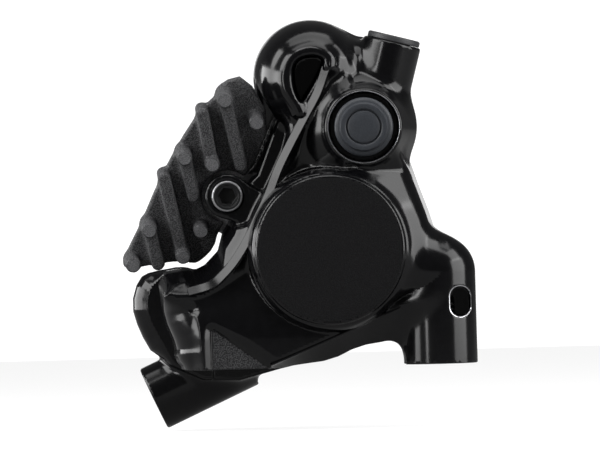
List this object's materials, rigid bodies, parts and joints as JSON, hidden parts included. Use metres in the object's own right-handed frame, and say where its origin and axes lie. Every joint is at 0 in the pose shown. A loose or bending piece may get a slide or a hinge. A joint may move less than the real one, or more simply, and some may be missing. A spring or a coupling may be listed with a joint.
{
  "type": "bicycle disc brake caliper",
  "caption": "Hydraulic rear flat-mount disc brake caliper with opposed pistons, finned pads, a capped bleed nipple and a tilted valve tube.",
  "frame": {"origin": "midway between the two frame bolts, on the plane of the feet", "axes": "+Z away from the frame, +X to the rear of the bicycle, -Y outboard, towards the side with the large plain disc"},
  "size_m": [0.059, 0.04, 0.068],
  "materials": {
    "cast_body_black": "gloss black over cast aluminium, with a matte disc face",
    "bolt_steel": "plated steel",
    "seal_rubber": "black nitrile rubber",
    "piston_ceramic": "off-white moulded piston",
    "backing_steel": "stamped plate",
    "friction_compound": "pressed friction compound with fine metal flecks",
    "fin_aluminium": "dark grey coated casting with a fine speckle",
    "spring_steel": "bright spring steel",
    "axle_steel": "blackened steel",
    "nipple_steel": "turned steel",
    "cap_rubber": "dark grey moulded rubber",
    "cap_plastic": "dark grey moulded plastic"
  },
  "bodies": {
    "caliper": {"outboard_body": "cast_body_black", "inboard_body": "cast_body_black", "body_bolts": "bolt_steel", "transfer_oring": "seal_rubber", "outboard_piston_seal": "seal_rubber", "inboard_piston_seal": "seal_rubber", "pad_spring": "spring_steel", "pad_axle": "axle_steel", "axle_snap_ring": "spring_steel", "bleed_nipple": "nipple_steel"},
    "outboard_piston_unit": {"outboard_piston": "piston_ceramic"},
    "inboard_piston_unit": {"inboard_piston": "piston_ceramic"},
    "outboard_pad": {"outboard_pad_backing": "backing_steel", "outboard_pad_friction": "friction_compound", "outboard_pad_fins": "fin_aluminium", "outboard_pad_rivets": "bolt_steel"},
    "inboard_pad": {"inboard_pad_backing": "backing_steel", "inboard_pad_friction": "friction_compound", "inboard_pad_fins": "fin_aluminium", "inboard_pad_rivets": "bolt_steel"},
    "bleed_valve": {"bleed_valve_screw": "nipple_steel", "bleed_valve_oring": "seal_rubber"},
    "bleed_cap_unit": {"bleed_cap": "cap_rubber"},
    "valve_cap_unit": {"valve_cap": "cap_plastic"}
  },
  "joints": [
    {"name": "outboard_piston_slide", "type": "slide", "parent": "caliper", "child": "outboard_piston_unit", "axis": [0, 1, 0], "range_m": [0, 0.0011], "stiffness_N_per_m": 3000, "deforming": ["pad_spring"]},
    {"name": "outboard_pad_slide", "type": "slide", "parent": "caliper", "child": "outboard_pad", "axis": [0, 1, 0], "range_m": [0, 0.0011]},
    {"name": "inboard_piston_slide", "type": "slide", "parent": "caliper", "child": "inboard_piston_unit", "axis": [0, -1, 0], "range_m": [0, 0.0011]},
    {"name": "inboard_pad_slide", "type": "slide", "parent": "caliper", "child": "inboard_pad", "axis": [0, -1, 0], "range_m": [0, 0.0011]},
    {"name": "bleed_valve_turn", "type": "hinge", "parent": "caliper", "child": "bleed_valve", "pos_m": [0.01051, 0.002, 0.05377], "axis": [0.2595, 0, 0.9657], "range_deg": [0, 90]},
    {"name": "bleed_cap_pull", "type": "slide", "parent": "caliper", "child": "bleed_cap_unit", "axis": [0, -1, 0], "range_m": [0, 0.01]},
    {"name": "valve_cap_pull", "type": "slide", "parent": "caliper", "child": "valve_cap_unit", "axis": [0.2595, 0, 0.9657], "range_m": [0, 0.008]}
  ],
  "couplings": [
    {"joint": "outboard_pad_slide", "follows": "outboard_piston_slide", "ratio": 1},
    {"joint": "inboard_piston_slide", "follows": "outboard_piston_slide", "ratio": 1},
    {"joint": "inboard_pad_slide", "follows": "outboard_piston_slide", "ratio": 1}
  ]
}
